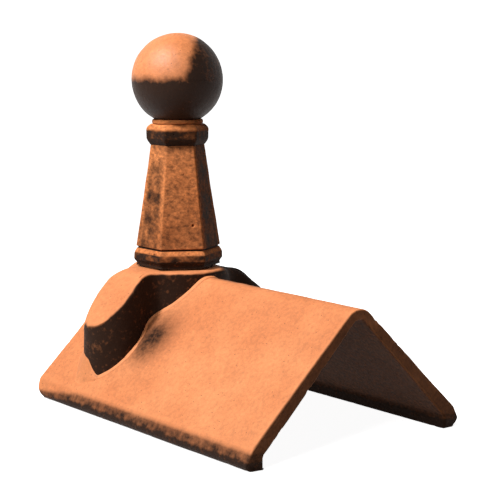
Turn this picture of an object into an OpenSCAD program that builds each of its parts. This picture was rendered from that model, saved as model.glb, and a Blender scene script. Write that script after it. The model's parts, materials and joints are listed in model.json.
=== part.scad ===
// Angle ridge tile in fired clay, with a six-sided ball-top finial on a lobed saddle.
// Millimetres, +Z up. The ridge runs along X. The origin lies on the ground plane, at
// mid-length and under the crest. The finial stands nearer the -X end.

/* [Ridge tile] */
// Length of the tile along the ridge
tile_len = 450; // [400:10:500]
// Slope of each wing's outer face below horizontal, degrees
pitch = 43.4; // [40:0.2:47]
// Slope of each wing's inner face, degrees; steeper, so the slab thickens towards its foot
inner_pitch = 44.8; // [44:0.2:48]
// Slant length of a wing's flat outer face, from the unrounded crest
wing_flat = 214.5; // [200:0.5:225]
// Depth of the unrounded inner apex below the unrounded outer apex
crest_depth = 18.4; // [16:0.2:22]
// Rounding radius of the outer crest
crest_r = 26; // [15:1:35]
// Rounding radius of the inner apex
inner_crest_r = 12; // [5:1:18]
// Height of the break where a wing's flat face ends above the ground
foot_drop = 25.4; // [22:0.1:30]
// Half the overall width of the tile
half_w = 163.1; // [158:0.1:168]
// Radius of the rounded nose at each foot
nose_r = 9.2; // [7:0.1:11]
// Distance from the centre plane to the inner edge of each foot
heel_y = 140; // [134:1:146]
// Corner radius of the wings at the finial's end
corner_r_near = 22; // [10:1:30]
// Corner radius of the wings at the plain end
corner_r_far = 7; // [4:1:20]
// Radius of the hole through the crest below the finial, for venting and a fixing rod
rod_hole_r = 9; // [6:0.5:12]

/* [Saddle] */
// Distance from the -X end of the tile to the finial's axis
finial_from_end = 97.3; // [90:0.1:120]
// Radius of the round drum below the plinth
drum_r = 67; // [62:0.5:72]
// Radius of each rounded lobe
lobe_r = 40; // [34:0.5:44]
// Distance from the finial's axis to the centre of each lobe
lobe_y = 100; // [95:0.5:105]
// Fillet radius of the waist between drum and lobe
waist_r = 13; // [8:0.5:16]
// Slope of each lobe's top below horizontal, degrees
lobe_slope = 47.2; // [44:0.2:50]
// Distance from the centre plane to the line where the deck and a lobe's slope would meet
shoulder_y = 82; // [78:0.5:86]
// Radius where the flat deck rolls over to a lobe's slope
hump_r = 40; // [30:1:60]
// Wall thickness of the hollow saddle
saddle_wall = 13; // [10:0.5:16]
// Width and depth of the bead of slip along the saddle's foot
bead = 4; // [2:0.5:6]

/* [Spigot and bedding] */
// Thickness of the bedding ring between the saddle's deck and the plinth
bed_t = 2; // [1:0.5:4]
// Outer radius of the bedding ring
bed_r = 46; // [42:0.5:48]
// Outer radius of the locating spigot
spigot_r = 30; // [26:0.5:31]
// Wall thickness of the spigot
spigot_wall = 9; // [7:0.5:12]
// Height of the spigot above the deck
spigot_h = 34; // [24:1:40]
// Radial clearance between the spigot and the plinth's socket
socket_gap = 2; // [1:0.5:3]

/* [Finial] */
// Height of the plinth's underside above the unrounded crest
plinth_base = 0; // [-2:0.5:4]
// Height of the plinth
plinth_h = 25; // [22:0.5:28]
// Corner radius of the shaft at its foot
shaft_r_foot = 55.6; // [52:0.1:58]
// Corner radius of the shaft at its head
shaft_r_head = 35.4; // [33:0.1:38]
// Height of the shaft
shaft_h = 132; // [120:1:145]
// Wall thickness of the shaft
shaft_wall = 12; // [9:0.5:14]
// Corner radius of the collar at its widest
collar_r = 41; // [38:0.5:44]
// Height of the collar
collar_h = 27; // [24:1:32]
// Radius of the round neck ring
neck_r = 33; // [30:0.5:34]
// Height of the neck ring
neck_h = 6; // [4:0.5:7]
// Radius of the ball
ball_r = 59.1; // [54:0.1:64]
// Wall thickness of the hollow ball
ball_wall = 10; // [8:0.5:14]
// Radius of the vent that runs up through collar, neck and ball
vent_r = 13; // [10:0.5:15]
// Outer radius of the tenon on the neck ring that locates the ball
tenon_r = 20; // [18:0.5:22]
// Height of the tenon
tenon_h = 8; // [6:0.5:10]
// Clearance round the tenon
tenon_gap = 0.4; // [0.2:0.1:0.8]

/* [Hidden] */
$fn = 96;
clay = [0.80, 0.44, 0.26];
clay_light = [0.86, 0.52, 0.32];
clay_dark = [0.66, 0.34, 0.20];
mortar = [0.45, 0.40, 0.35];
over = 1;
arc_steps = 14;

apex_z = wing_flat * sin(pitch) + foot_drop;
inner_apex_z = apex_z - crest_depth;
slant_end = wing_flat + 20.5;
finial_x = finial_from_end - tile_len / 2;
plinth_z = apex_z + plinth_base;
deck_z = plinth_z - bed_t;
shaft_z = plinth_z + plinth_h;
collar_z = shaft_z + shaft_h;
neck_z = collar_z + collar_h;
ball_foot_z = neck_z + neck_h;
ball_foot_r = 29.5;
ball_z = ball_foot_z + sqrt(ball_r * ball_r - ball_foot_r * ball_foot_r);

// Apothem of a hexagon with the given corner radius
function flat(r) = r * cos(30);

// Points of an arc in a section plane
function arc(c, r, from, to, steps = arc_steps) = [
    for (i = [0 : steps]) let (a = from + (to - from) * i / steps)
        [c[0] + r * cos(a), c[1] + r * sin(a)]
];
function mirrored(pts) = [for (i = [len(pts) - 1 : -1 : 0]) [-pts[i][0], pts[i][1]]];

// Outer outline of one half of the tile, from the nose's lowest point up to the crest
nose_c = [half_w - nose_r, nose_r];
flat_end = [wing_flat * cos(pitch), foot_drop];
to_break = flat_end - nose_c;
nose_top = atan2(to_break[1], to_break[0]) - acos(nose_r / norm(to_break));
outer_half = concat(
    arc(nose_c, nose_r, -90, nose_top),
    [flat_end],
    arc([0, apex_z - crest_r / cos(pitch)], crest_r, 90 - pitch, 90)
);
outer_outline = concat(outer_half, mirrored([for (i = [0 : len(outer_half) - 2]) outer_half[i]]));

// Inner outline of one half, from the inner crest down to the heel
inner_half = concat(
    arc([0, inner_apex_z - inner_crest_r / cos(inner_pitch)], inner_crest_r, 90, 90 - inner_pitch),
    [[heel_y, inner_apex_z - heel_y * tan(inner_pitch)], [heel_y, 0]]
);
inner_outline = concat(mirrored([for (i = [1 : len(inner_half) - 1]) inner_half[i]]), inner_half);

// Where the saddle's flat deck ends and its roll-over to a lobe's slope begins
hump_flat = shoulder_y - hump_r * tan(lobe_slope / 2);
hump_end = lobe_y + lobe_r + 10;

// A solid whose section in the YZ plane is pts, running along X and centred on x = 0
module along_x(pts, len) {
    rotate([90, 0, 90])
        linear_extrude(height = len, center = true)
            polygon(pts);
}

// Everything below the tile's outer surface
module hill() {
    along_x(concat([[-nose_c[0], -over], [nose_c[0], -over]], outer_outline), tile_len);
}

// The part of a wing's corner that lies outside its rounding, on the +Y wing
module corner_waste(end, r) {
    translate([end * tile_len / 2, 0, apex_z])
        rotate([-pitch, 0, 0])
            difference() {
                translate([end * (over - r / 2) - (r / 2 + over), slant_end - r, -60])
                    cube([r + 2 * over, r + 10, 120]);
                translate([-end * r, slant_end - r, -61])
                    cylinder(r = r, h = 122);
            }
}

module both_sides() {
    children();
    mirror([0, 1, 0]) children();
}

// Drum, two lobes and filleted waists as a plumb prism; grow moves every wall outwards
module lobed_prism(grow, z0, z1) {
    fr = waist_r - grow;
    d = drum_r + waist_r;
    l = lobe_r + waist_r;
    cy = (d * d - l * l + lobe_y * lobe_y) / (2 * lobe_y);
    cx = sqrt(d * d - cy * cy);
    translate([finial_x, 0, z0]) {
        cylinder(r = drum_r + grow, h = z1 - z0);
        both_sides() {
            translate([0, lobe_y, 0])
                cylinder(r = lobe_r + grow, h = z1 - z0);
            difference() {
                linear_extrude(height = z1 - z0)
                    polygon([[0, 0], [cx, cy], [0, lobe_y], [-cx, cy]]);
                for (side = [-1, 1])
                    translate([side * cx, cy, -over])
                        cylinder(r = fr, h = z1 - z0 + 2 * over);
            }
        }
    }
}

// Everything below the saddle's top surface, lowered by drop
module hump(drop) {
    top = deck_z - drop;
    half = concat(
        [[hump_end, top - (hump_end - shoulder_y) * tan(lobe_slope)]],
        arc([hump_flat, top - hump_r], hump_r, 90 - lobe_slope, 90)
    );
    translate([finial_x, 0, 0])
        along_x(concat([[-half[0][0], 0], [half[0][0], 0]], half, mirrored(half)), 2 * drum_r + 20);
}

// Six-sided moulding: half is a list of [apothem, z] from the foot up
module hex_moulding(half) {
    intersection_for (turn = [30, 90, 150])
        rotate([0, 0, turn])
            rotate([90, 0, 0])
                linear_extrude(height = 200, center = true)
                    polygon(concat(half, mirrored(half)));
}

module at_finial(z) {
    translate([finial_x, 0, z]) children();
}

module ridge_tile() {
    color(clay_light)
    difference() {
        along_x(concat(outer_outline, inner_outline), tile_len);
        both_sides() {
            corner_waste(-1, corner_r_near);
            corner_waste(1, corner_r_far);
        }
        at_finial(apex_z - 60)
            cylinder(r = rod_hole_r, h = 80);
    }
}

module saddle() {
    color(clay)
    difference() {
        intersection() {
            lobed_prism(0, 0, deck_z + 10);
            hump(0);
        }
        intersection() {
            lobed_prism(-saddle_wall, 0, deck_z + 10);
            hump(saddle_wall);
        }
        hill();
        at_finial(deck_z - saddle_wall - over)
            cylinder(r = spigot_r - spigot_wall, h = saddle_wall + 2 * over);
    }
}

module foot_bead() {
    color(clay_light)
    difference() {
        intersection() {
            lobed_prism(bead, 0, deck_z);
            translate([0, 0, bead / cos(pitch)]) hill();
        }
        lobed_prism(0, -over, deck_z + over);
        hill();
    }
}

module spigot() {
    color(clay)
    at_finial(deck_z)
    difference() {
        cylinder(r = spigot_r, h = spigot_h);
        translate([0, 0, -over])
            cylinder(r = spigot_r - spigot_wall, h = spigot_h + 2 * over);
    }
}

module bedding_ring() {
    color(mortar)
    at_finial(deck_z)
    difference() {
        cylinder(r = bed_r, h = bed_t);
        translate([0, 0, -over])
            cylinder(r = spigot_r + socket_gap, h = bed_t + 2 * over);
    }
}

module plinth() {
    color(clay)
    at_finial(plinth_z)
    difference() {
        hex_moulding([
            [flat(56.5), 0],
            [flat(55.0), 2.5],
            [flat(56.0), 5],
            [flat(59.0), 8],
            [flat(58.4), 17],
            [flat(54.5), plinth_h - 2.4],
            [flat(53.0), plinth_h - 2.2],
            [flat(53.0), plinth_h]
        ]);
        translate([0, 0, -over])
            cylinder(r = spigot_r + socket_gap, h = plinth_h + 2 * over);
    }
}

module shaft() {
    foot = flat(shaft_r_foot);
    head = flat(shaft_r_head);
    color(clay)
    at_finial(shaft_z)
    difference() {
        hex_moulding([[foot, 0], [head, shaft_h]]);
        hex_moulding([
            [foot - shaft_wall + 0.15, -over],
            [head - shaft_wall - 0.15, shaft_h + over]
        ]);
    }
}

module collar() {
    wide = flat(collar_r);
    foot = flat(shaft_r_head) + 0.5;
    head = flat(shaft_r_head) - 0.2;
    color(clay)
    at_finial(collar_z)
    difference() {
        hex_moulding([
            [foot, 0],
            [wide, 7],
            [wide, collar_h - 5],
            [head, collar_h]
        ]);
        translate([0, 0, -over])
            cylinder(r = vent_r, h = collar_h + 2 * over);
    }
}

module neck_ring() {
    color(clay_dark)
    at_finial(neck_z)
    difference() {
        union() {
            cylinder(r = neck_r, h = neck_h);
            cylinder(r = tenon_r, h = neck_h + tenon_h);
        }
        translate([0, 0, -over])
            cylinder(r = vent_r, h = neck_h + tenon_h + 2 * over);
    }
}

// Hollow ball, cut flat where it stands on the neck and open round the tenon
module ball_shell() {
    at_finial(ball_z)
    difference() {
        sphere(r = ball_r);
        sphere(r = ball_r - ball_wall);
        translate([0, 0, -ball_r - over])
            cylinder(r = tenon_r + tenon_gap, h = ball_r);
        translate([-ball_r, -ball_r, ball_foot_z - ball_z - ball_r])
            cube([2 * ball_r, 2 * ball_r, ball_r]);
    }
}

module half_space(z, above) {
    translate([finial_x - 80, -80, above ? z : z - 160])
        cube([160, 160, 160]);
}

module ball_lower() {
    color(clay)
    intersection() {
        ball_shell();
        half_space(ball_z, false);
    }
}

module ball_upper() {
    color(clay_light)
    intersection() {
        ball_shell();
        half_space(ball_z, true);
    }
}

ridge_tile();
saddle();
foot_bead();
spigot();
bedding_ring();
plinth();
shaft();
collar();
neck_ring();
ball_lower();
ball_upper();
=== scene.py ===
import json
import math

import bmesh
import bpy
import numpy as np
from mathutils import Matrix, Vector, noise

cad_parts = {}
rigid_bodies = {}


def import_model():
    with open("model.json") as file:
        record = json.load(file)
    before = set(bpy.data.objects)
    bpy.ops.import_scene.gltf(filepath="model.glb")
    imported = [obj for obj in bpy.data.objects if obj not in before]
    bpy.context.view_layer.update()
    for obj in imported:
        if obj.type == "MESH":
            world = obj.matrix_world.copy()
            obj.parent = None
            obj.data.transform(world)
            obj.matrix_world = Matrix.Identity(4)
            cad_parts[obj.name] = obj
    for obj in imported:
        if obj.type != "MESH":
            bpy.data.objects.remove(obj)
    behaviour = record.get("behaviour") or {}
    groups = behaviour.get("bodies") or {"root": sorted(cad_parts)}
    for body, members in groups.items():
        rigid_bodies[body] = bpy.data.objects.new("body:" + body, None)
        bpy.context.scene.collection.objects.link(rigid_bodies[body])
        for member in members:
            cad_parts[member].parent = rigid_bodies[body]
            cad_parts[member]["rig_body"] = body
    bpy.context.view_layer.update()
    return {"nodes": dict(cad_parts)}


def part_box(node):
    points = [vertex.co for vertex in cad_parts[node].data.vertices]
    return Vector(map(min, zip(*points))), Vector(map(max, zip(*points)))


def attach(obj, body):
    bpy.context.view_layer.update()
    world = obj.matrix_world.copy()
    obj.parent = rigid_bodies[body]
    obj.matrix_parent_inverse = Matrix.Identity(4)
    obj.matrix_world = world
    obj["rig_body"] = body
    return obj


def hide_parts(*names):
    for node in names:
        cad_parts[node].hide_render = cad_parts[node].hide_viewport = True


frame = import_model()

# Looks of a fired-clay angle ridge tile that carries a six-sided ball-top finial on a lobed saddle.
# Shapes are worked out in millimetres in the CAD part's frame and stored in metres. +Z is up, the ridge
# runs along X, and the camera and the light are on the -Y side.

MM = 0.001
FLAT = math.cos(math.radians(30))  # apothem of a hexagon over its corner radius


def cad_box(node):
    """Lowest and highest corner of a CAD node, in millimetres."""
    low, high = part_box(node)
    return np.array(low) / MM, np.array(high) / MM


def cad_foot(node):
    """Height of a CAD node's underside, in millimetres."""
    return float(cad_box(node)[0][2])


# ---------------------------------------------------------------- driving sizes, millimetres and radians

TILE_HIGH = cad_box("ridge_tile")[1]
BALL_LOW, BALL_HIGH = cad_box("ball_upper")
AXIS_X = float(BALL_LOW[0] + BALL_HIGH[0]) / 2
HALF_LENGTH = float(TILE_HIGH[0])
HALF_WIDTH = float(TILE_HIGH[1])
DECK_Z = float(cad_box("saddle")[1][2])
PLINTH_Z = cad_foot("plinth")
SHAFT_Z = cad_foot("shaft")
COLLAR_Z = cad_foot("collar")
NECK_Z = cad_foot("neck_ring")
BALL_FOOT_Z = cad_foot("ball_lower")
BALL_Z = cad_foot("ball_upper")
BALL_R = float(BALL_HIGH[2]) - BALL_Z

PITCH = math.radians(43.4)  # slope of a wing's outer face
INNER_PITCH = math.radians(44.8)
CREST_R = 26.0
INNER_CREST_R = 12.0
CREST_DEPTH = 18.4  # from the outer faces' apex down to the inner faces' apex
WING_FLAT = 214.5  # from the apex down the slope to the end of the flat outer face
NOSE_R = 9.2  # rounding of a wing's foot
HEEL_Y = 140.0  # plumb inner face of a wing's foot
CORNER_R = {-1: 22.0, 1: 7.0}  # wing corners at the finial's end and at the plain end
ARRIS_R = 3.0  # rounding of the tile's two ends
ROD_HOLE_R = 9.0
APEX_Z = float(TILE_HIGH[2]) + CREST_R * (1 / math.cos(PITCH) - 1)
INNER_APEX_Z = APEX_Z - CREST_DEPTH
SLANT_END = WING_FLAT + 20.5  # from the apex down the slope to the tip of the foot

DRUM_R = 67.0
LOBE_R = 40.0
LOBE_Y = 100.0
WAIST_R = 13.0
WAIST_R_TOP = 24.0  # the waist opens out towards the top
LOBE_SLOPE = math.radians(47.2)  # slope of a lobe's top past the roll-over
SHOULDER_Y = 82.0  # where that slope, drawn on, would meet the deck
HUMP_R = 40.0  # radius of the roll-over
FAR_SAG = 7.0  # how far the far lobe's shoulder has sunk
SADDLE_WALL = 13.0
SADDLE_SINK = 0.8  # how far the saddle's foot is sunk into the tile
EDGE_R = 4.0  # rounding of the saddle's top edge
LOBE_EDGE_R = 2.5  # more of it on a lobe
FALL_EDGE_R = 12.5  # and more again where the edge falls away
FALL_DROP = 6.0
BEAD_WIDTH = 4.6
BEAD_HEIGHT = 1.9
SMEAR_WIDTH = 8.5  # more of each where the slip is smeared up
SMEAR_HEIGHT = 24.0
SPIGOT_R = 30.0
SPIGOT_BORE = 21.0
SPIGOT_RISE = 34.0
SOCKET_R = 32.0
VENT_R = 13.0

SHAFT_FOOT_R = 55.6  # corner radius of the shaft at its foot
SHAFT_HEAD_R = 35.4
SHAFT_WALL = 12.0
BALL_WALL = 10.0
BALL_OPENING = 20.4

FULL_BEND = 0.11  # how sharply a surface has to bend for an arris to be fully lightened (wear and painted highlight) or a crease fully darkened (painted shade)
SHARP_ANGLE = math.radians(48)  # edges that bend more are shaded as sharp


# ---------------------------------------------------------------- shape helpers


def unit(v):
    return v / np.linalg.norm(v)


def arc(centre, radius, start, end, steps):
    """Points of an arc in a plane, both ends included; angles in radians."""
    angles = np.linspace(start, end, steps + 1)
    return np.column_stack([centre[0] + radius * np.cos(angles), centre[1] + radius * np.sin(angles)])


def straight(a, b, steps):
    """Points of a straight run, both ends included."""
    t = np.linspace(0, 1, steps + 1)[:, None]
    return np.asarray(a) * (1 - t) + np.asarray(b) * t


def joined(*runs):
    """Runs of points end to end, without the repeated point where two meet."""
    parts = [runs[0]] + [run[1:] for run in runs[1:]]
    return np.vstack(parts)


def smooth(x, low, high):
    """0 up to low and 1 from high on, with a smooth rise between; low may be the larger of the two."""
    t = np.clip((x - low) / (high - low), 0, 1)
    return t * t * (3 - 2 * t)


def outward(loop):
    """Outward normals of a closed counter-clockwise outline."""
    along = np.roll(loop, -1, 0) - np.roll(loop, 1, 0)
    normal = np.column_stack([along[:, 1], -along[:, 0]])
    return normal / np.linalg.norm(normal, axis=1)[:, None]


def perlin(points, size, seed):
    """Smooth noise from -1 to 1 at each point; size is the width of a lump in millimetres."""
    shift = Vector((17.3 * seed, 5.1 * seed, -9.7 * seed))
    return np.array([noise.noise(Vector(p) / size + shift) for p in points])


def from_axis(points):
    """Distance of each point from the finial's axis."""
    return np.hypot(points[:, 0] - AXIS_X, points[:, 1])


def grid_faces(rows, cols, wrap_rows, wrap_cols):
    """Four-sided faces of a grid of points, closed on itself in either direction if asked."""
    i = np.arange(rows if wrap_rows else rows - 1)[:, None]
    j = np.arange(cols if wrap_cols else cols - 1)[None, :]
    down = (i + 1) % rows
    right = (j + 1) % cols
    corners = [i * cols + j, i * cols + right, down * cols + right, down * cols + j]
    return np.stack([np.broadcast_to(c, (i.size, j.size)) for c in corners], -1).reshape(-1, 4)


def mesh_object(name, points, faces):
    """A smooth-shaded object from points in millimetres, with its normals turned outwards."""
    mesh = bpy.data.meshes.new(name)
    mesh.from_pydata((np.asarray(points) * MM).tolist(), [], [list(map(int, f)) for f in faces])
    bm = bmesh.new()
    bm.from_mesh(mesh)
    bmesh.ops.remove_doubles(bm, verts=bm.verts, dist=1e-6)
    bmesh.ops.recalc_face_normals(bm, faces=bm.faces)
    bm.to_mesh(mesh)
    bm.free()
    obj = bpy.data.objects.new(name, mesh)
    bpy.context.scene.collection.objects.link(obj)
    mesh.shade_smooth()
    return obj


def ring_solid(name, rows):
    """A closed solid from rings of points, each joined to the next and the last to the first."""
    grid = np.array(rows)
    return mesh_object(name, grid.reshape(-1, 3), grid_faces(*grid.shape[:2], True, True))


def read_points(obj):
    co = np.empty(len(obj.data.vertices) * 3)
    obj.data.vertices.foreach_get("co", co)
    return co.reshape(-1, 3) / MM


def write_points(obj, points):
    obj.data.vertices.foreach_set("co", (points * MM).ravel())
    obj.data.update()


def read_normals(obj):
    normals = np.empty(len(obj.data.vertices) * 3)
    obj.data.vertex_normals.foreach_get("vector", normals)
    return normals.reshape(-1, 3)


def refine(obj, spots, reach, cuts):
    """Adds mesh round each spot, so that a small pit can be pressed into it."""
    places = [Vector(s) * MM for s in spots]

    def is_near(edge):
        middle = (edge.verts[0].co + edge.verts[1].co) / 2
        return any((middle - place).length < reach * MM for place in places)

    bm = bmesh.new()
    bm.from_mesh(obj.data)
    near = [edge for edge in bm.edges if is_near(edge)]
    bmesh.ops.subdivide_edges(bm, edges=near, cuts=cuts, use_grid_fill=True)
    bmesh.ops.triangulate(bm, faces=[f for f in bm.faces if len(f.verts) > 4])
    bm.to_mesh(obj.data)
    bm.free()
    obj.data.polygons.foreach_set("use_smooth", [True] * len(obj.data.polygons))


def weather(obj, layers, seed, keep=None):
    """Pushes the surface in and out by noise; layers are (height, lump size), keep scales it per point."""
    points = read_points(obj)
    push = sum(height * perlin(points, size, seed + k) for k, (height, size) in enumerate(layers))
    if keep is not None:
        push = push * keep(points)
    write_points(obj, points + read_normals(obj) * push[:, None])


def press_pits(obj, pits):
    """Presses round pits into the surface: each is (x, y, z, radius, depth)."""
    points = read_points(obj)
    normals = read_normals(obj)
    for x, y, z, radius, depth in pits:
        away = np.linalg.norm(points - np.array([x, y, z]), axis=1) / radius
        dip = np.where(away < 1, (1 - np.clip(away, 0, 1) ** 2) ** 1.5, 0) * depth
        points -= normals * dip[:, None]
    write_points(obj, points)


def set_layer(obj, name, values):
    layer = obj.data.attributes.new(name, "FLOAT", "POINT")
    layer.data.foreach_set("value", np.asarray(values, np.float32))


def edge_layers(obj, keep=None):
    """Writes how far each point stands out (lightened as wear and painted highlight) or lies in a crease
    (darkened as painted shade); keep scales the lightening.
    """
    mesh = obj.data
    points = read_points(obj)
    normals = read_normals(obj)
    edges = np.empty(len(mesh.edges) * 2, np.int64)
    mesh.edges.foreach_get("vertices", edges)
    a, b = edges.reshape(-1, 2).T
    along = points[b] - points[a]
    length = np.maximum(np.linalg.norm(along, axis=1), 1e-6)
    total = np.zeros(len(points))
    count = np.zeros(len(points))
    for here, way in ((a, -1), (b, 1)):
        np.add.at(total, here, way * (normals[here] * along).sum(1) / length)
        np.add.at(count, here, 1)
    bend = total / np.maximum(count, 1)
    for _ in range(2):
        blurred = np.zeros(len(points))
        np.add.at(blurred, a, bend[b])
        np.add.at(blurred, b, bend[a])
        bend = (bend + blurred / np.maximum(count, 1)) / 2
    share = 1 if keep is None else keep(points)
    set_layer(obj, "wear_and_highlight", np.clip(bend / FULL_BEND, 0, 1) * share)
    set_layer(obj, "crease_shade", np.clip(-bend / FULL_BEND, 0, 1))


# ---------------------------------------------------------------- materials


class Shader:
    """A material's node tree, with one short call for each node."""

    def __init__(self, name):
        self.material = bpy.data.materials.new(name)
        self.material.use_nodes = True
        self.tree = self.material.node_tree
        self.bsdf = self.tree.nodes["Principled BSDF"]

    def add(self, kind, inputs=None, out=0, **settings):
        """Adds a node, links or sets its inputs, and gives back one of its outputs."""
        node = self.tree.nodes.new(kind)
        for key, value in settings.items():
            setattr(node, key, value)
        for key, value in (inputs or {}).items():
            if isinstance(value, bpy.types.NodeSocket):
                self.tree.links.new(value, node.inputs[key])
            else:
                node.inputs[key].default_value = value
        return node.outputs[out]

    def surface(self, **inputs):
        """Links or sets inputs of the surface itself; an underscore in a name stands for a space."""
        for key, value in inputs.items():
            socket = self.bsdf.inputs[key.replace("_", " ")]
            if isinstance(value, bpy.types.NodeSocket):
                self.tree.links.new(value, socket)
            else:
                socket.default_value = value

    def object_space(self):
        return self.add("ShaderNodeTexCoord", out=3)

    def math(self, operation, a, b=0.0, c=0.0):
        return self.add("ShaderNodeMath", {0: a, 1: b, 2: c}, operation=operation)

    def fit(self, value, low, high, to_low, to_high):
        """The value moved from the range low to high into to_low to to_high, and held inside it."""
        keys = {"Value": value, "From Min": low, "From Max": high, "To Min": to_low, "To Max": to_high}
        return self.add("ShaderNodeMapRange", keys, clamp=True)

    def mix(self, factor, a, b, blend="MIX"):
        keys = {0: factor, 6: a, 7: b}
        return self.add("ShaderNodeMix", keys, out=2, data_type="RGBA", blend_type=blend)

    def lumps(self, where, size, detail=3.0, roughness=0.55, stretch=None):
        """Noise from 0 to 1 with lumps of about that size in millimetres."""
        if stretch is not None:
            where = self.add("ShaderNodeVectorMath", {0: where, 1: stretch}, operation="MULTIPLY")
        keys = {"Vector": where, "Scale": 1 / (size * MM), "Detail": detail, "Roughness": roughness}
        return self.add("ShaderNodeTexNoise", keys)

    def spots(self, where, cell, radius, share):
        """1 inside round spots of that radius, in a share of cells of that size, in millimetres."""
        cells = self.tree.nodes.new("ShaderNodeTexVoronoi")
        cells.inputs["Scale"].default_value = 1 / (cell * MM)
        self.tree.links.new(where, cells.inputs["Vector"])
        chosen = self.add("ShaderNodeSeparateColor", {0: cells.outputs["Color"]})
        picked = self.math("LESS_THAN", chosen, share)
        edge = radius / cell
        near = self.fit(cells.outputs["Distance"], edge * 0.55, edge, 1.0, 0.0)
        return self.math("MULTIPLY", near, picked)

    def attribute(self, name):
        return self.add("ShaderNodeAttribute", attribute_name=name, out=2)


def clay(name, body, pale, dark, shade_strength=0.8, specks=0.3, mottle=0.5, rough=0.8, wiped=1.0, shine=0.42):
    """Unglazed fired clay: cloudy and mottled, with sandy grain, iron specks and pores, arrises lightened
    as wear and painted highlight, and painted shade.

    shade_strength, specks and mottle say how strong the painted shade, the specks and the mottling are;
    rough and shine are the bare clay's finish.
    wiped above 1 draws the mottling out level, as a wet hand leaves it.
    """
    s = Shader(name)
    where = s.object_space()
    clouds = s.lumps(where, size=95, detail=2.0)
    patches = s.lumps(where, size=22)
    blotches = s.lumps(where, size=5.0, roughness=0.6, stretch=(1 / wiped, 1 / wiped, wiped))
    sand = s.lumps(where, size=1.5, detail=2.0, roughness=0.7)
    speck = s.spots(where, cell=5.2, radius=0.75, share=specks)
    pore = s.spots(where, cell=3.4, radius=0.55, share=0.35)
    wear_and_highlight = s.attribute("wear_and_highlight")
    crease_shade = s.attribute("crease_shade")
    painted_shade = s.attribute("painted_shade")

    colour = s.mix(s.fit(clouds, 0.35, 0.68, 0.0, 1.0), body, pale)
    shade = s.fit(patches, 0.3, 0.7, 1 - 0.16 * mottle, 1 + 0.10 * mottle)
    mottling = s.fit(blotches, 0.3, 0.72, 1 - 0.5 * mottle, 1 + 0.14 * mottle)
    shade = s.math("MULTIPLY", shade, mottling)
    shade = s.math("MULTIPLY", shade, s.fit(sand, 0.3, 0.7, 0.86, 1.08))
    grey = s.add("ShaderNodeCombineColor", {0: shade, 1: shade, 2: shade})
    colour = s.mix(1.0, colour, grey, "MULTIPLY")
    # arrises lighten towards the pale colour: partly wear, partly painted highlight
    worn_and_lit = s.math("MULTIPLY", wear_and_highlight, s.fit(patches, 0.25, 0.6, 0.25, 0.85))
    colour = s.mix(worn_and_lit, colour, pale)
    # painted shade: creases and the painted shade layer darken the clay towards the dark colour, in
    # streaks, and take away its sheen
    painted_dark = s.math("MULTIPLY", s.math("MAXIMUM", s.math("MULTIPLY", crease_shade, 0.75), painted_shade), shade_strength)
    streaky_shade = s.math("MULTIPLY", painted_dark, s.fit(blotches, 0.3, 0.7, 1.2, 0.95))
    colour = s.mix(s.math("MINIMUM", streaky_shade, 0.985), colour, dark)
    iron = (dark[0] * 0.5, dark[1] * 0.5, dark[2] * 0.5, 1)
    colour = s.mix(s.math("MULTIPLY", speck, 0.8), colour, iron)

    height = s.math("MULTIPLY", s.math("SUBTRACT", sand, 0.5), 0.34)
    height = s.math("MULTIPLY_ADD", blotches, 0.35, height)
    height = s.math("MULTIPLY_ADD", pore, -0.30, height)
    s.surface(
        Base_Color=colour,
        Normal=s.add("ShaderNodeBump", {"Height": height, "Distance": MM, "Strength": 0.9}),
        Roughness=s.fit(sand, 0.25, 0.75, rough - 0.1, rough + 0.08),
        Specular_IOR_Level=s.fit(streaky_shade, 0.2, 1.0, shine, 0.12),
    )
    return s.material


def mortar(name):
    """Sandy grey lime mortar: pale grains and dark grit in a rough grey paste."""
    s = Shader(name)
    where = s.object_space()
    paste = s.mix(s.lumps(where, size=9), (0.20, 0.17, 0.14, 1), (0.33, 0.29, 0.24, 1))
    grit = s.lumps(where, size=0.9, detail=2.0, roughness=0.7)
    colour = s.mix(s.fit(grit, 0.35, 0.7, 0.0, 0.6), paste, (0.42, 0.37, 0.30, 1))
    stones = s.spots(where, cell=2.6, radius=0.6, share=0.4)
    s.surface(
        Base_Color=s.mix(stones, colour, (0.06, 0.05, 0.04, 1)),
        Normal=s.add("ShaderNodeBump", {"Height": grit, "Distance": 0.6 * MM, "Strength": 1.0}),
        Roughness=0.95,
    )
    return s.material


BODY = (0.60, 0.190, 0.062, 1)
PALE = (0.70, 0.245, 0.088, 1)
DUSK = (0.64, 0.196, 0.054, 1)
GOLD = (0.71, 0.238, 0.074, 1)
# colour of the painted shade; the iron specks take half of it
SHADE_BLACK = (0.011, 0.0046, 0.0022, 1)

MATERIALS = {
    "tile_clay": clay("tile_clay", BODY, PALE, SHADE_BLACK, shade_strength=0.95, specks=0.3, mottle=0.42),
    "saddle_clay": clay("saddle_clay", BODY, PALE, SHADE_BLACK, shade_strength=1.0, specks=0.3, mottle=0.42),
    "slip_clay": clay("slip_clay", PALE, PALE, SHADE_BLACK, specks=0.15, mottle=0.35, rough=0.72),
    "finial_clay": clay(
        "finial_clay", DUSK, GOLD, SHADE_BLACK, shade_strength=0.95, specks=0.45, mottle=1.45, wiped=1.2, shine=0.22,
    ),
    "ball_clay": clay("ball_clay", BODY, PALE, SHADE_BLACK, shade_strength=1.0, specks=0.45, mottle=0.5, rough=0.54),
    "bedding_mortar": mortar("bedding_mortar"),
}


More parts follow.
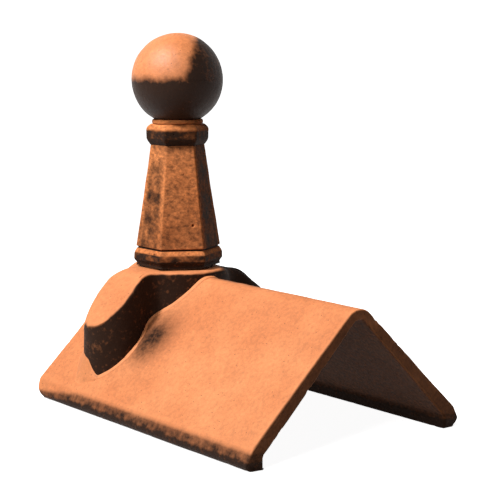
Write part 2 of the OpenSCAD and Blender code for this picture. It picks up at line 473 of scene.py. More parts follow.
def hand_over(obj, node, slot, painted_shade=None, wear_and_highlight=None):
    """Finishes a piece: its layers and material, the body it rides on and the CAD node it stands for."""
    edge_layers(obj, wear_and_highlight)
    obj.data.set_sharp_from_angle(angle=SHARP_ANGLE)
    points = read_points(obj)
    # painted shade layer: darkening that stands in for shade
    set_layer(obj, "painted_shade", np.zeros(len(points)) if painted_shade is None else np.clip(painted_shade(points), 0, 1))
    obj.data.materials.append(MATERIALS[slot])
    even = obj.modifiers.new("even_shading", "WEIGHTED_NORMAL")
    even.keep_sharp = True
    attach(obj, frame["nodes"][node]["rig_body"])
    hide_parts(node)


# ---------------------------------------------------------------- ridge tile


def tile_surface(y):
    """Height of the tile's outer surface at distance y from the centre plane, with the rounded crest."""
    y = np.abs(y)
    turn = CREST_R * math.sin(PITCH)
    centre = APEX_Z - CREST_R / math.cos(PITCH)
    rounded = centre + np.sqrt(np.maximum(CREST_R**2 - np.minimum(y, turn) ** 2, 0))
    return np.where(y < turn, rounded, APEX_Z - y * math.tan(PITCH))


def tile_section():
    """Outer and inner halves of the tile's section as (y, z) points, paired from crest to foot.

    Each run ends with its step count, and both halves have the same count in all.
    """
    nose = np.array([HALF_WIDTH - NOSE_R, NOSE_R])
    flat_end = np.array([WING_FLAT * math.cos(PITCH), APEX_Z - WING_FLAT * math.sin(PITCH)])
    to_end = flat_end - nose
    lift = math.atan2(to_end[1], to_end[0]) - math.acos(NOSE_R / np.linalg.norm(to_end))
    crest = (0, APEX_Z - CREST_R / math.cos(PITCH))
    crest_arc = arc(crest, CREST_R, math.pi / 2, math.pi / 2 - PITCH, 14)
    nose_arc = arc(nose, NOSE_R, lift, -math.pi / 2, 12)
    outer = joined(
        crest_arc,
        straight(crest_arc[-1], flat_end, 62),
        straight(flat_end, nose_arc[0], 4),
        nose_arc,
    )
    inner_crest = (0, INNER_APEX_Z - INNER_CREST_R / math.cos(INNER_PITCH))
    inner_arc = arc(inner_crest, INNER_CREST_R, math.pi / 2, math.pi / 2 - INNER_PITCH, 12)
    heel = np.array([HEEL_Y, INNER_APEX_Z - HEEL_Y * math.tan(INNER_PITCH)])
    above_heel = heel + (-1.2, 1.2)
    below_heel = heel + (0, -1.6)
    inner = joined(
        inner_arc,
        straight(inner_arc[-1], above_heel, 68),
        straight(above_heel, below_heel, 3),
        straight(below_heel, (HEEL_Y, 0), 9),
    )
    return outer, inner


def wing_end(slant, radius):
    """How far along X a wing reaches at that slant distance from the crest, with its corner rounded."""
    past = np.clip(slant - (SLANT_END - radius), 0, radius)
    return HALF_LENGTH - radius + np.sqrt(radius**2 - past**2)


def tile_stations(reach):
    """Where the sections stand along the ridge, each as (x, inset); the inset rounds the two ends."""
    ends = {}
    for side in (-1, 1):
        rounded = [
            (side * (reach[side] - ARRIS_R * (1 - math.cos(t))), ARRIS_R * (1 - math.sin(t)))
            for t in np.linspace(0, math.pi / 2, 6)
        ]
        close = [(side * (reach[side] - ARRIS_R - 3.0 * k), 0.0) for k in range(1, 6)]
        ends[side] = rounded + close
    first = ends[-1][-1][0]
    last = ends[1][-1][0]
    middle = [(first + (last - first) * k / 96, 0.0) for k in range(1, 96)]
    return ends[-1] + middle + ends[1][::-1]


def end_faces(rows, count, half):
    """Faces between the outer and the inner half of the section, at both ends of the tile."""
    faces = []
    for row in (0, rows - 1):
        right = [row * count + k for k in range(half)]
        right_in = [row * count + 2 * half - 1 - k for k in range(half)]
        left_in = [row * count + 2 * half - 1 + k for k in range(half)]
        left = [row * count + (count - k) % count for k in range(half)]
        for out, back in ((right, right_in), (left, left_in)):
            faces += [(out[k], out[k + 1], back[k + 1], back[k]) for k in range(half - 1)]
    return faces


def cut_rod_hole(tile):
    """Bores the vent and rod hole through the crest below the finial."""
    bpy.ops.mesh.primitive_cylinder_add(vertices=48, radius=ROD_HOLE_R * MM, depth=60 * MM)
    drill = bpy.context.object
    drill.location = (AXIS_X * MM, 0, (APEX_Z - 15) * MM)
    cut = tile.modifiers.new("rod_hole", "BOOLEAN")
    cut.operation = "DIFFERENCE"
    cut.solver = "EXACT"
    cut.object = drill
    bpy.context.view_layer.update()
    cut_mesh = bpy.data.meshes.new_from_object(tile.evaluated_get(bpy.context.evaluated_depsgraph_get()))
    tile.modifiers.clear()
    tile.data = cut_mesh
    bpy.data.objects.remove(drill)


def chip_arrises(tile):
    """Knocks small chips and soft dents out of the end arrises and the feet."""
    points = read_points(tile)
    normals = read_normals(tile)
    at_end = smooth(np.abs(points[:, 0]), HALF_LENGTH - 9, HALF_LENGTH - 2)
    at_foot = smooth(points[:, 2], 16, 4)
    rough = perlin(points, 11, 21) + 0.7 * perlin(points, 4, 22)
    dents = np.maximum(rough - 0.3, 0) * 1.3
    points -= normals * (dents * np.maximum(at_end, 0.7 * at_foot))[:, None]
    write_points(tile, points)


def near_footing(points):
    """Calms the weathering where the tile stands."""
    return 1 - 0.7 * smooth(np.abs(points[:, 2]), 3, 0)


def tile_painted_shade(points):
    """Painted shade under the wings, along the feet, on the end arrises and the crest, and a painted shadow
    of the near lobe on the wing.
    """
    x, y, z = points.T
    inside = 0.85 * smooth(tile_surface(y) - z, 8, 13) * smooth(np.abs(x), HALF_LENGTH, HALF_LENGTH - 4)
    rise = z + 10 * smooth(x, -110, -HALF_LENGTH)  # the dark foot is lower towards the finial's end
    foot = 0.85 * smooth(rise, 24, 18) * (0.95 + 0.3 * perlin(points, 9, 24))
    foot = foot + 0.6 * smooth(rise, 14, 5)
    end = 0.62 * smooth(np.abs(x), HALF_LENGTH - 1.6, HALF_LENGTH - 0.2)
    end = end * (1 + 0.3 * perlin(points, 20, 26))
    crest = 0.8 * smooth(y, -6, 7) * smooth(x - AXIS_X, 250, 80)
    crest = crest * (0.9 + 0.8 * perlin(points, 15, 27))
    # painted shadow that the near lobe casts on the wing
    lobe_shadow = np.exp(-(((x - AXIS_X - 60) / 32) ** 2) - ((y + 85) / 27) ** 2)
    lobe_shadow = 0.98 * lobe_shadow * (1 + 0.2 * perlin(points, 15, 25))
    return np.max([inside, foot, end, crest, lobe_shadow], axis=0)


def build_tile():
    outer, inner = tile_section()
    mirror = np.array([-1, 1])
    loop = np.vstack([outer, inner[::-1], (inner * mirror)[1:], (outer * mirror)[:0:-1]])
    normals = outward(loop[::-1])[::-1]
    slant = np.abs(loop[:, 0]) * math.cos(PITCH) + (APEX_Z - loop[:, 1]) * math.sin(PITCH)
    reach = {side: wing_end(slant, CORNER_R[side]) for side in (-1, 1)}
    grid = np.array([
        np.column_stack([np.broadcast_to(x, len(loop)), loop - normals * inset])
        for x, inset in tile_stations(reach)
    ])
    faces = grid_faces(*grid.shape[:2], False, True).tolist()
    faces += end_faces(*grid.shape[:2], len(outer))
    tile = mesh_object("tile_body", grid.reshape(-1, 3), faces)
    cut_rod_hole(tile)
    weather(tile, [(0.75, 120), (0.30, 34), (0.12, 9)], seed=3, keep=near_footing)
    chip_arrises(tile)
    points = read_points(tile)
    points[:, 0] = np.clip(points[:, 0], -HALF_LENGTH, HALF_LENGTH)
    points[:, 1] = np.clip(points[:, 1], -HALF_WIDTH, HALF_WIDTH)
    points[:, 2] = np.maximum(points[:, 2], 0)
    write_points(tile, points)
    hand_over(tile, "ridge_tile", "tile_clay", tile_painted_shade)


# ---------------------------------------------------------------- saddle and its luting bead


def lobed_outline(grow, fillet):
    """Closed plan of the saddle about its own axis: a round drum, two lobes and filleted waists."""
    drum_r = DRUM_R + grow
    lobe_r = LOBE_R + grow
    to_drum = drum_r + fillet
    to_lobe = lobe_r + fillet
    cy = (to_drum * to_drum - to_lobe * to_lobe + LOBE_Y**2) / (2 * LOBE_Y)
    cx = math.sqrt(to_drum * to_drum - cy * cy)
    on_drum = math.atan2(cy, cx)
    on_lobe = math.atan2(cy - LOBE_Y, cx)
    quarter = joined(
        arc((0, 0), drum_r, 0, on_drum, 20),
        arc((cx, cy), fillet, on_drum + math.pi, on_lobe + math.pi, 20),
        arc((0, LOBE_Y), lobe_r, on_lobe, math.pi / 2, 34),
    )
    upper = np.vstack([quarter, (quarter * (-1, 1))[-2::-1]])
    return np.vstack([upper, (upper * (1, -1))[-2:0:-1]])


def saddle_top(y):
    """Height of the saddle's top at y: level deck, roll-over, then a slope; the far side sags a little."""
    sag = FAR_SAG * smooth(y, 30, 66) * smooth(y, 132, 88)
    y = np.abs(y)
    flat_to = SHOULDER_Y - HUMP_R * math.tan(LOBE_SLOPE / 2)
    bend_to = flat_to + HUMP_R * math.sin(LOBE_SLOPE)
    rolled = np.clip(y - flat_to, 0, bend_to - flat_to)
    drop = HUMP_R - np.sqrt(HUMP_R**2 - rolled**2)
    return DECK_Z - sag - drop - np.maximum(y - bend_to, 0) * math.tan(LOBE_SLOPE)


def saddle_edge(top):
    """The top edge's inner line and its drop: tight on one side of a lobe, falling away on the other."""
    out = outward(top)
    lobe_share = smooth(np.abs(top[:, 1]), 62, 104)
    at_nose = np.abs(out[:, 1]) * lobe_share
    falling = smooth(np.sign(top[:, 1]) * out[:, 0], 0.05, 0.7) * smooth(np.abs(top[:, 1]), 24, 74)
    falling *= 1 - 0.75 * smooth(top[:, 1], 80, 112)  # less of it on the far lobe's nose
    radius = EDGE_R + LOBE_EDGE_R * lobe_share + FALL_EDGE_R * falling
    drop = radius * (1 - 0.6 * at_nose) + FALL_DROP * falling
    line = top - out * radius[:, None]
    for _ in range(70):
        beside = (np.roll(line, 1, 0) + np.roll(line, -1, 0)) / 2
        line += 0.5 * falling[:, None] * (beside - line)
    return line, drop


def saddle_rows():
    """Rings of points from the foot up the wall, over the top, down the hole and back under the shell."""
    foot = lobed_outline(0, WAIST_R)
    top = lobed_outline(0, WAIST_R_TOP)
    inner = lobed_outline(-SADDLE_WALL, WAIST_R + SADDLE_WALL)
    rim, edge_drop = saddle_edge(top)
    heading = np.arctan2(rim[:, 1], rim[:, 0])
    hole = SPIGOT_BORE * np.column_stack([np.cos(heading), np.sin(heading)])

    def on_tile(plan):
        return tile_surface(plan[:, 1]) - SADDLE_SINK

    def underside(plan):
        return np.maximum(saddle_top(plan[:, 1]) - SADDLE_WALL, on_tile(plan))

    rows = []
    foot_z = on_tile(foot)
    edge_z = saddle_top(top[:, 1]) - edge_drop
    for f in np.linspace(0, 1, 27):
        lean = smooth(f, 0, 1)
        plan = foot * (1 - lean) + top * lean
        rows.append(np.column_stack([plan, foot_z * (1 - f) + edge_z * f]))
    for t in np.linspace(0, 1, 8)[1:]:
        plan = top + (rim - top) * (1 - math.cos(t * math.pi / 2))
        drop = edge_drop * (1 - math.sin(t * math.pi / 2))
        rows.append(np.column_stack([plan, saddle_top(plan[:, 1]) - drop]))
    for t in np.linspace(0, 1, 34)[1:]:
        plan = rim * (1 - t) + hole * t
        rows.append(np.column_stack([plan, saddle_top(plan[:, 1])]))
    for t in np.linspace(0, 1, 26):
        plan = hole * (1 - t) + inner * t
        rows.append(np.column_stack([plan, underside(plan)]))
    inner_foot = np.minimum(on_tile(inner), underside(inner) - 0.6)
    for f in np.linspace(0, 1, 9)[1:]:
        rows.append(np.column_stack([inner, underside(inner) * (1 - f) + inner_foot * f]))
    for f in (0.35, 0.7):
        plan = inner * (1 - f) + foot * f
        rows.append(np.column_stack([plan, on_tile(plan)]))
    return rows


def saddle_painted_shade(points):
    """Painted shade on the walls, from just below the top edge, and over nearly all of the far lobe."""
    x, y, z = points.T
    height = saddle_top(y) - z
    left_side = smooth(x - AXIS_X, -8, -30)  # here the painted shade starts lower and more softly
    start = 1.2 + 17 * left_side + 1.2 * perlin(points, 12, 36)
    wall = smooth(height - start, 0, 2.2 + 5 * left_side)
    broken = 0.95 + 0.09 * perlin(points, 17, 35) + 0.12 * perlin(points, 5, 38)
    behind = 0.57 * (x - AXIS_X) + 0.79 * y + 5 * perlin(points, 18, 37)
    return np.maximum(wall * broken, 0.95 * smooth(behind, 42, 60))


def build_saddle():
    grid = np.array(saddle_rows())
    grid[:, :, 0] += AXIS_X
    saddle = ring_solid("saddle_shell", grid)
    weather(saddle, [(1.1, 60), (0.5, 19), (0.16, 6)], seed=31, keep=lambda p: smooth(from_axis(p), 48, 60))
    hand_over(saddle, "saddle", "saddle_clay", saddle_painted_shade)


def build_bead():
    """The ridge of slip squeezed out along the saddle's foot, smeared up high on the left of each lobe."""
    foot = lobed_outline(0, WAIST_R)
    round_nose = np.degrees(np.arctan2(np.abs(foot[:, 1]) - LOBE_Y, foot[:, 0]))
    on_lobe = smooth(np.abs(foot[:, 1]), 62, 84)
    smeared = np.where(foot[:, 0] < -20, on_lobe, on_lobe * smooth(round_nose, 66, 100))

    def on_tile(plan):
        return np.column_stack([plan[:, 0] + AXIS_X, plan[:, 1], tile_surface(plan[:, 1])])

    base = on_tile(foot)
    out = on_tile(foot + outward(foot) * 2.0) - base
    out /= np.linalg.norm(out, axis=1)[:, None]
    up = np.array([0, 0, 1.0])
    lumpy = 1 + 0.35 * perlin(base, 14, 41) + 0.2 * perlin(base, 5, 42)
    width = (BEAD_WIDTH + SMEAR_WIDTH * smeared) * lumpy
    height = BEAD_HEIGHT * lumpy + SMEAR_HEIGHT * smeared
    cove = 1.0 + 1.9 * smeared
    rows = []
    for angle in np.linspace(0, math.pi / 2, 12):
        across = math.cos(angle) ** (0.8 * cove)
        rise = math.sin(angle) ** (0.9 * cove)
        rows.append(base + out * (width * across)[:, None] + up * (height * rise)[:, None])
    for across, share in ((-1.2, 0.8), (-1.6, 0.1)):
        rows.append(base + out * across + up * (share * height)[:, None])
    for across, rise in ((-1.0, -0.9), (0.3, -1.0)):
        rows.append(base + out * across + up * rise)
    hand_over(ring_solid("luting_bead", rows), "foot_bead", "slip_clay")


# ---------------------------------------------------------------- turned and six-sided pieces


def section_path(corners, spacing):
    """Closed section path. Each corner is (radius, height, fillet, roundness); long runs are divided.

    A fillet takes less than half of the run on either side, and a corner without one stays sharp.
    """
    path = []
    for k, (radius, height, fillet, roundness) in enumerate(corners):
        here = np.array([radius, height], float)
        before = np.array(corners[k - 1][:2], float)
        after = np.array(corners[(k + 1) % len(corners)][:2], float)
        cut = min(fillet, 0.48 * np.linalg.norm(before - here), 0.48 * np.linalg.norm(after - here))
        if cut < 0.05:
            path.append((*here, roundness))
            continue
        start = here + unit(before - here) * cut
        end = here + unit(after - here) * cut
        for t in np.linspace(0, 1, 6):
            spot = start * (1 - t) ** 2 + here * 2 * t * (1 - t) + end * t * t
            path.append((*spot, roundness))
    path = np.array(path)
    dense = []
    for here, after in zip(path, np.roll(path, -1, 0)):
        parts = max(1, int(np.linalg.norm(after[:2] - here[:2]) / spacing))
        dense += [here + (after - here) * k / parts for k in range(parts)]
    return np.array(dense)


def six_sided(corner_r, sides):
    """Rings of a hexagon with flats facing +Y and -Y and rounded arrises; roundness 1 makes a circle."""
    turns = 7

    def ring(apothem, roundness):
        r = min(corner_r, apothem * 0.5)
        half_side = (apothem - r) * math.tan(math.pi / 6)
        points = []
        for face in range(6):
            facing = math.radians(-90 + 60 * face)
            n = np.array([math.cos(facing), math.sin(facing)])
            t = np.array([-n[1], n[0]])
            points += [n * apothem + t * half_side * (2 * k / sides - 1) for k in range(sides + 1)]
            corner = n * (apothem - r) + t * half_side
            for k in range(1, turns):
                turn = facing + math.radians(60) * k / turns
                points.append(corner + r * np.array([math.cos(turn), math.sin(turn)]))
        points = np.array(points)
        circle = points / np.linalg.norm(points, axis=1)[:, None] * apothem
        return points * (1 - roundness) + circle * roundness

    return ring


def turned(steps):
    """Round rings; they need no roundness."""

    def ring(radius, _):
        angles = np.arange(steps) * 2 * math.pi / steps
        return radius * np.column_stack([np.cos(angles), np.sin(angles)])

    return ring


def swept(name, path, ring, base_z):
    """A ring-shaped solid: the section path carried round the finial's axis."""
    rows = []
    for radius, height, roundness in path:
        x, y = ring(radius, roundness).T
        rows.append(np.column_stack([x + AXIS_X, y, np.full(len(x), base_z + height)]))
    return ring_solid(name, rows)


def outside_only(radius):
    """Keeps the weathering off the surfaces inside that radius, where pieces meet or fit."""
    return lambda points: smooth(from_axis(points), radius - 4, radius)


def face_spot(facing, apothem, across, z):
    """A point on a six-sided piece's face, across millimetres from the face's middle line."""
    a = math.radians(facing)
    return (
        AXIS_X + apothem * math.cos(a) - across * math.sin(a),
        apothem * math.sin(a) + across * math.cos(a),
        z,
    )


def add_pits(obj, base_z, pits):
    """Presses pits into a six-sided piece: each is (facing, apothem, across, height, radius, depth)."""
    placed = []
    for facing, apothem, across, height, radius, depth in pits:
        placed.append((*face_spot(facing, apothem, across, base_z + height), radius, depth))
    refine(obj, [pit[:3] for pit in placed], reach=5.0, cuts=3)
    press_pits(obj, placed)


def build_spigot():
    corners = [
        (SPIGOT_BORE, -0.6, 0, 1),
        (SPIGOT_R, -0.6, 0, 1),
        (SPIGOT_R, SPIGOT_RISE, 2.6, 1),
        (SPIGOT_BORE, SPIGOT_RISE, 2.2, 1),
    ]
    spigot = swept("locating_spigot", section_path(corners, 2.0), turned(120), DECK_Z)
    weather(spigot, [(0.35, 30), (0.15, 8)], seed=51)
    # painted shade at the spigot's foot, where it stands on the deck
    hand_over(spigot, "spigot", "saddle_clay", lambda p: 0.5 * smooth(p[:, 2], DECK_Z + 5, DECK_Z))


def build_bed():
    """The ring of mortar between saddle and plinth: squeezed out unevenly, with a pitted top."""
    inside = SOCKET_R + 0.6
    outside = 45.4
    top = 1.95
    corners = [
        (inside, -0.5, 0, 1),
        (outside, -0.5, 0, 1),
        (outside, top, 1.2, 1),
        (inside, top, 0.8, 1),
    ]
    bed = swept("mortar_bed", section_path(corners, 1.4), turned(168), DECK_Z)
    points = read_points(bed)
    squeeze = 0.7 * perlin(points, 9, 61) + 0.4 * perlin(points, 3.5, 62)
    out = from_axis(points)
    push = np.where(out > 40, squeeze, 0) / out
    points[:, 0] += (points[:, 0] - AXIS_X) * push
    points[:, 1] += points[:, 1] * push
    dip = np.abs(perlin(points, 4, 63)) * 0.5
    points[:, 2] -= np.where(points[:, 2] > DECK_Z + 1.2, dip, 0)
    write_points(bed, points)
    hand_over(bed, "bedding_ring", "bedding_mortar")


def plinth_painted_shade(points):
    """Painted shade at the foot, in the groove and, in patches, on the band."""
    z = points[:, 2] - PLINTH_Z
    low = smooth(z, 12.5, 8.5)
    groove = smooth(z, 22.4, 23.0)
    band = 0.78 * smooth(z, 18.0, 16.4) * (1 + 0.7 * perlin(points, 12, 75))
    return np.max([low, groove, band], axis=0)


def build_plinth():
    band_r = 59
    base = [(56.5, 0, 1.6), (55, 2.5, 1.2), (56, 5, 1.6)]
    band = [(band_r, 8, 2.4), (58.4, 17, 3.0), (54.5, 22.6, 1.4)]
    groove = [(53, 22.8, 0.3), (53, 25, 0.4)]
    corners = [(SOCKET_R, 0, 0.8, 1)]
    corners += [(r * FLAT, z, fillet, 0) for r, z, fillet in base + band + groove]
    corners += [(SOCKET_R, 25, 0.8, 1)]
    plinth = swept("plinth_block", section_path(corners, 1.5), six_sided(3.6, 34), PLINTH_Z)
    weather(plinth, [(0.6, 40), (0.35, 11), (0.14, 4)], seed=71, keep=outside_only(42))
    face = band_r * FLAT
    add_pits(plinth, PLINTH_Z, [
        (-90, face, 15.5, 18.2, 2.6, 3.0),
        (-30, face, -9, 8.5, 1.6, 1.2),
        (-30, face, -4, 9.0, 1.3, 0.9),
        (90, face, 8, 12, 1.8, 1.3),
        (150, face, -14, 14, 1.5, 1.2),
        (-150, face, 5, 10, 1.4, 1.0),
    ])
    hand_over(plinth, "plinth", "finial_clay", plinth_painted_shade)


def shaft_keep(points):
    """Keeps the weathering off the shaft's two ends."""
    z = points[:, 2] - SHAFT_Z
    rise = COLLAR_Z - SHAFT_Z
    return smooth(z, 0, 5) * smooth(z, rise, rise - 4)


def shaft_painted_shade(points):
    """Patchy painted shade: low down, below the collar, on the face towards -Y and on the back right face.
    """
    z = points[:, 2] - SHAFT_Z
    rise = COLLAR_Z - SHAFT_Z
    out = from_axis(points)
    low = 0.32 * smooth(z, 62, 18) * (0.75 + 0.9 * perlin(points, 22, 85))
    top = 0.5 * smooth(z, rise - 9, rise)
    front_face = smooth(-points[:, 1] / out, 0.89, 0.96) * smooth(z, 118, 96)
    front = 0.72 * front_face * (0.9 + 0.7 * perlin(points, 14, 86))
    facing_back = (0.866 * (points[:, 0] - AXIS_X) + 0.5 * points[:, 1]) / out
    back = 0.88 * smooth(facing_back, 0.88, 0.95) * (0.95 + 0.4 * perlin(points, 20, 87))
    return np.max([low, top, front, back], axis=0)


def build_shaft():
    foot = SHAFT_FOOT_R * FLAT
    head = SHAFT_HEAD_R * FLAT
    rise = COLLAR_Z - SHAFT_Z
    corners = [
        (foot - SHAFT_WALL, 0, 0.8, 0),
        (foot, 0, 1.4, 0),
        (head, rise, 0.7, 0),
        (head - SHAFT_WALL, rise, 0.6, 0),
    ]
    shaft = swept("shaft_shell", section_path(corners, 2.0), six_sided(3.2, 24), SHAFT_Z)
    weather(shaft, [(0.7, 75), (0.35, 20), (0.16, 6)], seed=81, keep=shaft_keep)
    add_pits(shaft, SHAFT_Z, [
        (-30, 44, 14.8, 30.3, 2.2, 2.2),
        (-30, 35, 4, 96, 1.3, 0.8),
        (-90, 41, -9, 52, 1.5, 1.0),
        (-150, 40, 8, 60, 1.6, 1.1),
        (90, 43, -12, 40, 1.9, 1.4),
        (150, 37, 5, 84, 1.4, 1.0),
        (30, 42, 6, 45, 1.6, 1.2),
    ])
    hand_over(shaft, "shaft", "finial_clay", shaft_painted_shade)


def collar_painted_shade(points):
    """Painted shade on the lower bevel and, a little broken, on the band."""
    z = points[:, 2] - COLLAR_Z
    return smooth(z, 9, 4) + 0.95 * smooth(z, 21, 17) * (1 + 0.25 * perlin(points, 9, 95))


def build_collar():
    wide = 41 * FLAT
    foot = SHAFT_HEAD_R * FLAT + 0.5
    head = SHAFT_HEAD_R * FLAT - 0.2
    corners = [
        (VENT_R, 0, 0.5, 1),
        (foot, 0, 0.8, 0),
        (wide, 7, 3.0, 0),
        (wide, 22, 3.0, 0),
        (head, 27, 1.6, 0),
        (VENT_R, 27, 0.5, 1),
    ]
    collar = swept("collar_block", section_path(corners, 1.5), six_sided(3.4, 24), COLLAR_Z)
    weather(collar, [(0.5, 35), (0.3, 10), (0.12, 4)], seed=91, keep=outside_only(27))
    add_pits(collar, COLLAR_Z, [
        (-90, wide, 6, 12, 1.4, 1.0),
        (-30, wide, -8, 15, 1.5, 1.1),
        (150, wide, 3, 13, 1.5, 1.1),
    ])
    hand_over(collar, "collar", "finial_clay", collar_painted_shade)


def build_neck():
    """The low round ring below the ball, with the tenon that the ball sits over."""
    corners = [
        (VENT_R, 0, 0.5, 1),
        (33, 0, 2.2, 1),
        (33, 6, 2.6, 1),
        (20, 6, 0.8, 1),
        (20, 14, 1.6, 1),
        (VENT_R, 14, 1.0, 1),
    ]
    neck = swept("neck_seat", section_path(corners, 1.3), turned(132), NECK_Z)
    weather(neck, [(0.3, 20), (0.12, 6)], seed=101, keep=outside_only(30))
    # painted shade at the ring's foot
    hand_over(neck, "neck_ring", "finial_clay", lambda p: 0.5 * smooth(p[:, 2], NECK_Z + 1.5, NECK_Z))


# ---------------------------------------------------------------- ball


def ball_keep(points):
    """Keeps the weathering off the ball's foot and makes it weaker near the rim between the halves."""
    z = points[:, 2]
    return smooth(z, BALL_FOOT_Z, BALL_FOOT_Z + 6) * (0.35 + 0.65 * smooth(np.abs(z - BALL_Z), 0, 6))


def ball_painted_shade(points):
    """Painted shade: it darkens the ball's lower half and its back right."""
    x, y, z = points[:, 0] - AXIS_X, points[:, 1], points[:, 2] - BALL_Z
    ragged = 3.5 * perlin(points, 16, 115) + 1.6 * perlin(points, 5, 116)
    below = smooth(z + ragged, 8.5, -5.5)
    side = 0.57 * x + 0.79 * y - 0.28 * z
    behind = smooth(side + ragged, 2, 17) * (0.93 + 0.2 * perlin(points, 24, 117))
    return np.maximum(below, behind)


def off_seam(points):
    """No lightened arris (wear and painted highlight) along the luted seam, which is smoothed over."""
    return smooth(np.abs(points[:, 2] - BALL_Z), 2, 6)


def finish_ball(half, node):
    """The same weathering and looks for both halves, so that they meet without a step."""
    weather(half, [(0.55, 55), (0.22, 14), (0.10, 5)], seed=111, keep=ball_keep)
    hand_over(half, node, "ball_clay", ball_painted_shade, off_seam)


def build_ball_bowl():
    """Lower half of the hollow ball, cut flat where it stands and open round the tenon."""
    inner_r = BALL_R - BALL_WALL
    foot_angle = math.asin((BALL_FOOT_Z - BALL_Z) / BALL_R)
    open_angle = -math.acos(BALL_OPENING / inner_r)
    outer = arc((0, BALL_Z), BALL_R, foot_angle, -0.003, 52)
    hollow = arc((0, BALL_Z), inner_r, -0.008, open_angle, 26)
    rim = np.array([
        [BALL_R - 0.35, BALL_Z - 0.03],
        [BALL_R - 2.5, BALL_Z - 0.02],
        [inner_r + 0.3, BALL_Z - 0.02],
    ])
    throat = straight((BALL_OPENING, hollow[-1][1]), (BALL_OPENING, BALL_FOOT_Z), 4)[1:]
    under = straight((BALL_OPENING, BALL_FOOT_Z), outer[0], 5)[1:-1]
    path = np.vstack([outer, rim, hollow, throat, under])
    path = np.column_stack([path, np.ones(len(path))])
    finish_ball(swept("ball_bowl", path, turned(192), 0), "ball_lower")


def build_ball_dome():
    """Upper half of the hollow ball, on a square grid bent to a dome so that it has no pole."""
    steps = 96
    side = np.linspace(-1, 1, steps + 1)
    a, b = (g.ravel() for g in np.meshgrid(side, side))
    wide = np.abs(a) > np.abs(b)
    long_side = np.where(wide, a, b)
    short_side = np.where(wide, b, a)
    ratio = np.divide(short_side, long_side, out=np.zeros_like(a), where=np.abs(long_side) > 1e-9)
    heading = np.where(wide, ratio * math.pi / 4, math.pi / 2 - ratio * math.pi / 4)
    heading = heading + np.where(long_side < 0, math.pi, 0)
    tilt = np.abs(long_side) * math.pi / 2
    shells = []
    for radius in (BALL_R, BALL_R - BALL_WALL):
        flat_r = radius * np.sin(tilt)
        shells.append(np.column_stack([
            AXIS_X + flat_r * np.cos(heading),
            flat_r * np.sin(heading),
            BALL_Z + np.maximum(radius * np.cos(tilt), 0.02),
        ]))
    row = steps + 1
    count = row * row
    faces = grid_faces(row, row, False, False)
    border = list(range(steps))
    border += [k * row + steps for k in range(steps)]
    border += [steps * row + steps - k for k in range(steps)]
    border += [(steps - k) * row for k in range(steps)]
    rims = [(p, q, q + count, p + count) for p, q in zip(border, border[1:] + border[:1])]
    faces = faces.tolist() + (faces[:, ::-1] + count).tolist() + rims
    finish_ball(mesh_object("ball_dome", np.vstack(shells), faces), "ball_upper")


build_tile()
build_saddle()
build_bead()
build_spigot()
build_bed()
build_plinth()
build_shaft()
build_collar()
build_neck()
build_ball_bowl()
build_ball_dome()


# ---------------------------------------------------------------- studio, in metres

FLOOR_R = 2.6
SWEEP_R = 1.6
BACKDROP_RISES = (1.0, 2.5)  # rings above the sweep
LIGHT_DISTANCE = 2.2
KEY_FROM = (-0.12, -0.60, 0.79)
FILL_FROM = (0.36, -0.62, 0.70)
CAMERA_PLACE = Vector((HALF_LENGTH + 1219.0, -1124.3, APEX_Z + 293.2)) * MM
CAMERA_AIM = Vector((HALF_LENGTH - 83.6, -93.1, APEX_Z + 56.4)) * MM


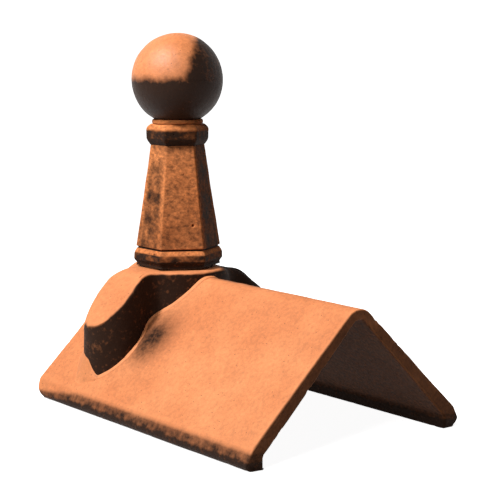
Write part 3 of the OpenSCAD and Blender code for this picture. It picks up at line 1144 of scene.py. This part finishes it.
def build_studio():
    """A pale floor that sweeps up into a round backdrop.

    It glows, to show nearly white, but is hidden from diffuse rays, so that the clay's shade stays dark.
    """
    profile = [(r, 0.0) for r in (0.0, 0.5, 1.0, 1.8, FLOOR_R)]
    profile += [
        (FLOOR_R + SWEEP_R * math.sin(t), SWEEP_R * (1 - math.cos(t)))
        for t in np.linspace(0, math.pi / 2, 17)[1:]
    ]
    profile += [(FLOOR_R + SWEEP_R, SWEEP_R + rise) for rise in BACKDROP_RISES]
    steps = 96
    bm = bmesh.new()
    rings = []
    for radius, height in profile:
        angles = [2 * math.pi * k / steps for k in range(steps if radius > 0 else 1)]
        rings.append([bm.verts.new((radius * math.cos(a), radius * math.sin(a), height)) for a in angles])
    for low, high in zip(rings, rings[1:]):
        for k in range(steps):
            after = (k + 1) % steps
            if len(low) == 1:
                bm.faces.new((low[0], high[k], high[after]))
            else:
                bm.faces.new((low[k], high[k], high[after], low[after]))
    mesh = bpy.data.meshes.new("studio_floor")
    bm.to_mesh(mesh)
    bm.free()
    mesh.shade_smooth()
    floor = bpy.data.objects.new("studio_floor", mesh)
    bpy.context.scene.collection.objects.link(floor)
    s = Shader("studio_paper")
    s.surface(
        Base_Color=(0.86, 0.86, 0.85, 1),
        Roughness=1.0,
        Specular_IOR_Level=0.0,
        Emission_Color=(1, 1, 1, 1),
        Emission_Strength=0.95,
    )
    s.material.cycles.emission_sampling = "NONE"
    mesh.materials.append(s.material)
    floor.visible_diffuse = False


def add_light(name, towards, size, power):
    """A square soft light on the side of the object given by towards, turned to the object's middle."""
    data = bpy.data.lights.new(name, "AREA")
    data.shape = "SQUARE"
    data.size = size
    data.energy = power
    light = bpy.data.objects.new(name, data)
    middle = Vector((0, 0, 0.2))
    light.location = middle + Vector(towards).normalized() * LIGHT_DISTANCE
    light.rotation_mode = "QUATERNION"
    light.rotation_quaternion = Vector(towards).to_track_quat("Z", "Y")
    bpy.context.scene.collection.objects.link(light)


def build_world():
    world = bpy.data.worlds.new("studio_air")
    world.use_nodes = True
    background = world.node_tree.nodes["Background"]
    background.inputs["Color"].default_value = (1.0, 0.96, 0.92, 1)
    background.inputs["Strength"].default_value = 0.012
    bpy.context.scene.world = world


def build_camera():
    """Upright camera, a little above the object, that looks past its plain end from the front right."""
    data = bpy.data.cameras.new("camera")
    data.sensor_width = 36
    data.lens = 106.9
    camera = bpy.data.objects.new("camera", data)
    camera.location = CAMERA_PLACE
    camera.rotation_mode = "QUATERNION"
    camera.rotation_quaternion = (CAMERA_AIM - CAMERA_PLACE).to_track_quat("-Z", "Y")
    bpy.context.scene.collection.objects.link(camera)
    bpy.context.scene.camera = camera


build_studio()
build_world()
build_camera()
add_light("key", KEY_FROM, size=0.45, power=74)
add_light("fill", FILL_FROM, size=0.5, power=15)
bpy.context.scene.view_settings.view_transform = "Standard"
